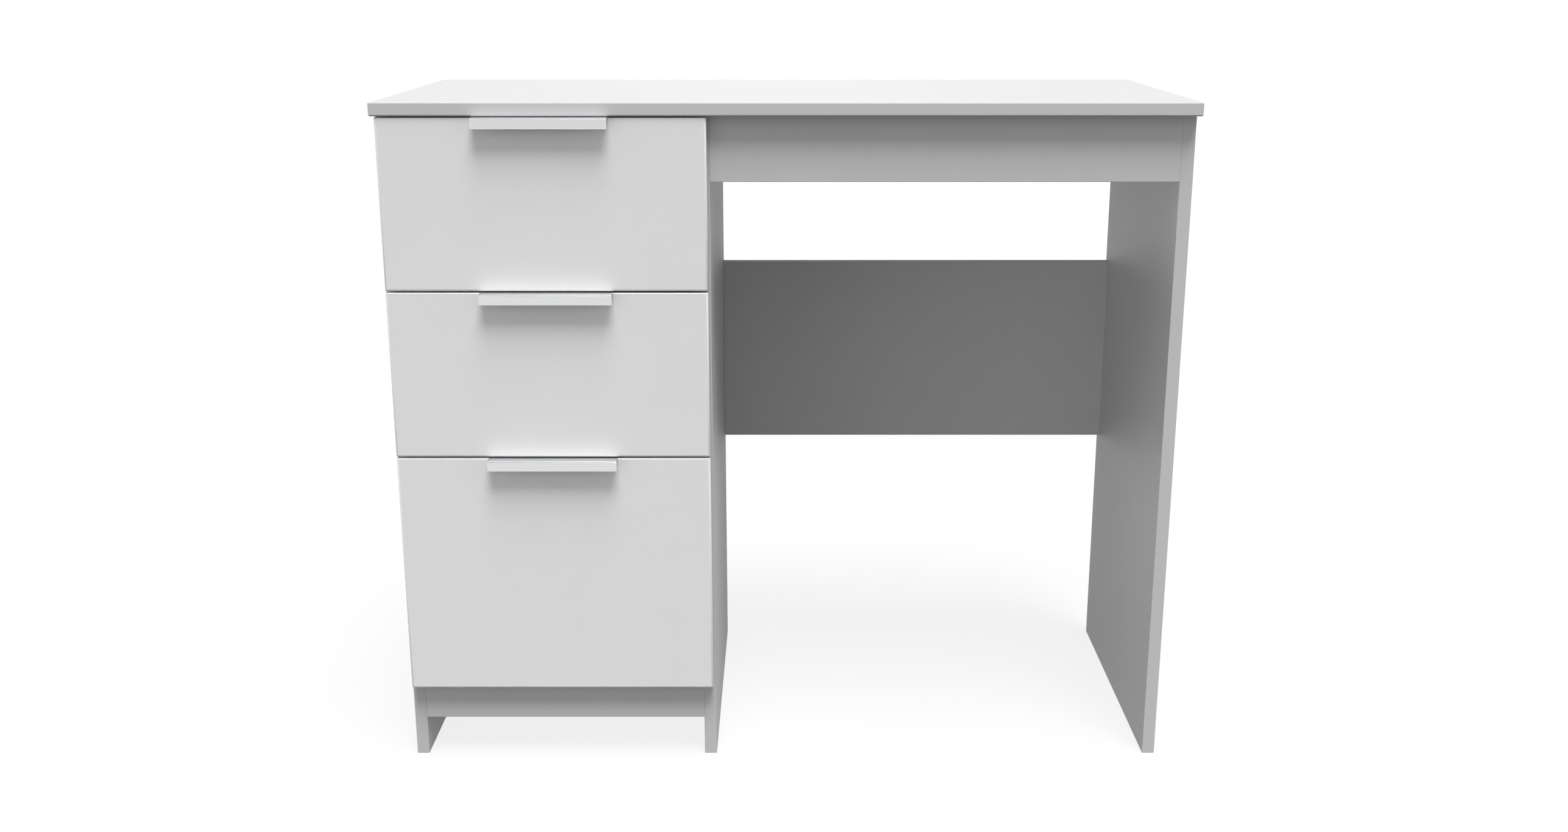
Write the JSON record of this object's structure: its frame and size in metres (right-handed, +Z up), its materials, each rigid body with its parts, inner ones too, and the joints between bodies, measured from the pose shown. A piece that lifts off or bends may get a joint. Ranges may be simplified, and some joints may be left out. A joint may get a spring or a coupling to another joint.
{
  "type": "writing desk with drawers",
  "caption": "White writing desk with a pedestal of drawers on the left, edge-pull metal handles, an open knee space with an apron rail and a modesty panel, and board ends that reach the floor.",
  "frame": {"origin": "on the floor, at the middle of the overall width and depth", "axes": "+Z up, the drawer fronts and the user's side face -Y, +X to the right as seen from the front"},
  "size_m": [0.93, 0.428, 0.805],
  "materials": {
    "white_melamine": "satin",
    "white_gloss_foil": "gloss",
    "drawer_foil": "matte",
    "hardboard": "matte",
    "beech": "matte",
    "satin_aluminium": "satin",
    "white_epoxy_steel": "satin",
    "plated_steel": "satin",
    "zinc_alloy": "satin",
    "nylon": "satin"
  },
  "bodies": {
    "carcass": {"desktop": "white_melamine", "left_side_panel": "white_melamine", "centre_side_panel": "white_melamine", "right_end_panel": "white_melamine", "pedestal_base": "white_melamine", "plinth_rail": "white_melamine", "knee_apron": "white_melamine", "modesty_panel": "white_melamine", "pedestal_back": "hardboard", "panel_dowels": "beech", "cam_locks": "zinc_alloy", "cam_bolts": "plated_steel", "back_panel_pins": "plated_steel", "cabinet_runner_screws": "plated_steel", "top_cabinet_left_runner": "white_epoxy_steel", "top_cabinet_right_runner": "white_epoxy_steel", "middle_cabinet_left_runner": "white_epoxy_steel", "middle_cabinet_right_runner": "white_epoxy_steel", "bottom_cabinet_left_runner": "white_epoxy_steel", "bottom_cabinet_right_runner": "white_epoxy_steel"},
    "top_drawer": {"top_drawer_front": "white_gloss_foil", "top_drawer_handle": "satin_aluminium", "top_drawer_back": "drawer_foil", "top_drawer_base": "hardboard", "top_drawer_fixings": "plated_steel", "top_drawer_left_side": "drawer_foil", "top_drawer_left_runner": "white_epoxy_steel", "top_drawer_right_side": "drawer_foil", "top_drawer_right_runner": "white_epoxy_steel"},
    "top_cabinet_left_roller": {"top_cabinet_left_roller": "nylon"},
    "top_drawer_left_roller": {"top_drawer_left_roller": "nylon"},
    "top_cabinet_right_roller": {"top_cabinet_right_roller": "nylon"},
    "top_drawer_right_roller": {"top_drawer_right_roller": "nylon"},
    "middle_drawer": {"middle_drawer_front": "white_gloss_foil", "middle_drawer_handle": "satin_aluminium", "middle_drawer_back": "drawer_foil", "middle_drawer_base": "hardboard", "middle_drawer_fixings": "plated_steel", "middle_drawer_left_side": "drawer_foil", "middle_drawer_left_runner": "white_epoxy_steel", "middle_drawer_right_side": "drawer_foil", "middle_drawer_right_runner": "white_epoxy_steel"},
    "middle_cabinet_left_roller": {"middle_cabinet_left_roller": "nylon"},
    "middle_drawer_left_roller": {"middle_drawer_left_roller": "nylon"},
    "middle_cabinet_right_roller": {"middle_cabinet_right_roller": "nylon"},
    "middle_drawer_right_roller": {"middle_drawer_right_roller": "nylon"},
    "bottom_drawer": {"bottom_drawer_front": "white_gloss_foil", "bottom_drawer_handle": "satin_aluminium", "bottom_drawer_back": "drawer_foil", "bottom_drawer_base": "hardboard", "bottom_drawer_fixings": "plated_steel", "bottom_drawer_left_side": "drawer_foil", "bottom_drawer_left_runner": "white_epoxy_steel", "bottom_drawer_right_side": "drawer_foil", "bottom_drawer_right_runner": "white_epoxy_steel"},
    "bottom_cabinet_left_roller": {"bottom_cabinet_left_roller": "nylon"},
    "bottom_drawer_left_roller": {"bottom_drawer_left_roller": "nylon"},
    "bottom_cabinet_right_roller": {"bottom_cabinet_right_roller": "nylon"},
    "bottom_drawer_right_roller": {"bottom_drawer_right_roller": "nylon"}
  },
  "joints": [
    {"name": "top_drawer_slide", "type": "slide", "parent": "carcass", "child": "top_drawer", "axis": [0, -1, 0], "range_m": [0, 0.26]},
    {"name": "top_cabinet_left_roller_spin", "type": "hinge", "parent": "carcass", "child": "top_cabinet_left_roller", "pos_m": [-0.4415, -0.1685, 0.6235], "axis": [1, 0, 0], "continuous": true},
    {"name": "top_drawer_left_roller_spin", "type": "hinge", "parent": "top_drawer", "child": "top_drawer_left_roller", "pos_m": [-0.4409, 0.154, 0.6235], "axis": [1, 0, 0], "continuous": true},
    {"name": "top_cabinet_right_roller_spin", "type": "hinge", "parent": "carcass", "child": "top_cabinet_right_roller", "pos_m": [-0.1075, -0.1685, 0.6235], "axis": [1, 0, 0], "continuous": true},
    {"name": "top_drawer_right_roller_spin", "type": "hinge", "parent": "top_drawer", "child": "top_drawer_right_roller", "pos_m": [-0.1081, 0.154, 0.6235], "axis": [1, 0, 0], "continuous": true},
    {"name": "middle_drawer_slide", "type": "slide", "parent": "carcass", "child": "middle_drawer", "axis": [0, -1, 0], "range_m": [0, 0.26]},
    {"name": "middle_cabinet_left_roller_spin", "type": "hinge", "parent": "carcass", "child": "middle_cabinet_left_roller", "pos_m": [-0.4415, -0.1685, 0.425], "axis": [1, 0, 0], "continuous": true},
    {"name": "middle_drawer_left_roller_spin", "type": "hinge", "parent": "middle_drawer", "child": "middle_drawer_left_roller", "pos_m": [-0.4409, 0.154, 0.425], "axis": [1, 0, 0], "continuous": true},
    {"name": "middle_cabinet_right_roller_spin", "type": "hinge", "parent": "carcass", "child": "middle_cabinet_right_roller", "pos_m": [-0.1075, -0.1685, 0.425], "axis": [1, 0, 0], "continuous": true},
    {"name": "middle_drawer_right_roller_spin", "type": "hinge", "parent": "middle_drawer", "child": "middle_drawer_right_roller", "pos_m": [-0.1081, 0.154, 0.425], "axis": [1, 0, 0], "continuous": true},
    {"name": "bottom_drawer_slide", "type": "slide", "parent": "carcass", "child": "bottom_drawer", "axis": [0, -1, 0], "range_m": [0, 0.26]},
    {"name": "bottom_cabinet_left_roller_spin", "type": "hinge", "parent": "carcass", "child": "bottom_cabinet_left_roller", "pos_m": [-0.4415, -0.1685, 0.128], "axis": [1, 0, 0], "continuous": true},
    {"name": "bottom_drawer_left_roller_spin", "type": "hinge", "parent": "bottom_drawer", "child": "bottom_drawer_left_roller", "pos_m": [-0.4409, 0.154, 0.128], "axis": [1, 0, 0], "continuous": true},
    {"name": "bottom_cabinet_right_roller_spin", "type": "hinge", "parent": "carcass", "child": "bottom_cabinet_right_roller", "pos_m": [-0.1075, -0.1685, 0.128], "axis": [1, 0, 0], "continuous": true},
    {"name": "bottom_drawer_right_roller_spin", "type": "hinge", "parent": "bottom_drawer", "child": "bottom_drawer_right_roller", "pos_m": [-0.1081, 0.154, 0.128], "axis": [1, 0, 0], "continuous": true}
  ],
  "couplings": [
    {"joint": "top_cabinet_left_roller_spin", "follows": "top_drawer_slide", "rad_per_m": 129.87},
    {"joint": "top_drawer_left_roller_spin", "follows": "top_drawer_slide", "rad_per_m": 129.87},
    {"joint": "top_cabinet_right_roller_spin", "follows": "top_drawer_slide", "rad_per_m": 129.87},
    {"joint": "top_drawer_right_roller_spin", "follows": "top_drawer_slide", "rad_per_m": 129.87},
    {"joint": "middle_cabinet_left_roller_spin", "follows": "middle_drawer_slide", "rad_per_m": 129.87},
    {"joint": "middle_drawer_left_roller_spin", "follows": "middle_drawer_slide", "rad_per_m": 129.87},
    {"joint": "middle_cabinet_right_roller_spin", "follows": "middle_drawer_slide", "rad_per_m": 129.87},
    {"joint": "middle_drawer_right_roller_spin", "follows": "middle_drawer_slide", "rad_per_m": 129.87},
    {"joint": "bottom_cabinet_left_roller_spin", "follows": "bottom_drawer_slide", "rad_per_m": 129.87},
    {"joint": "bottom_drawer_left_roller_spin", "follows": "bottom_drawer_slide", "rad_per_m": 129.87},
    {"joint": "bottom_cabinet_right_roller_spin", "follows": "bottom_drawer_slide", "rad_per_m": 129.87},
    {"joint": "bottom_drawer_right_roller_spin", "follows": "bottom_drawer_slide", "rad_per_m": 129.87}
  ]
}
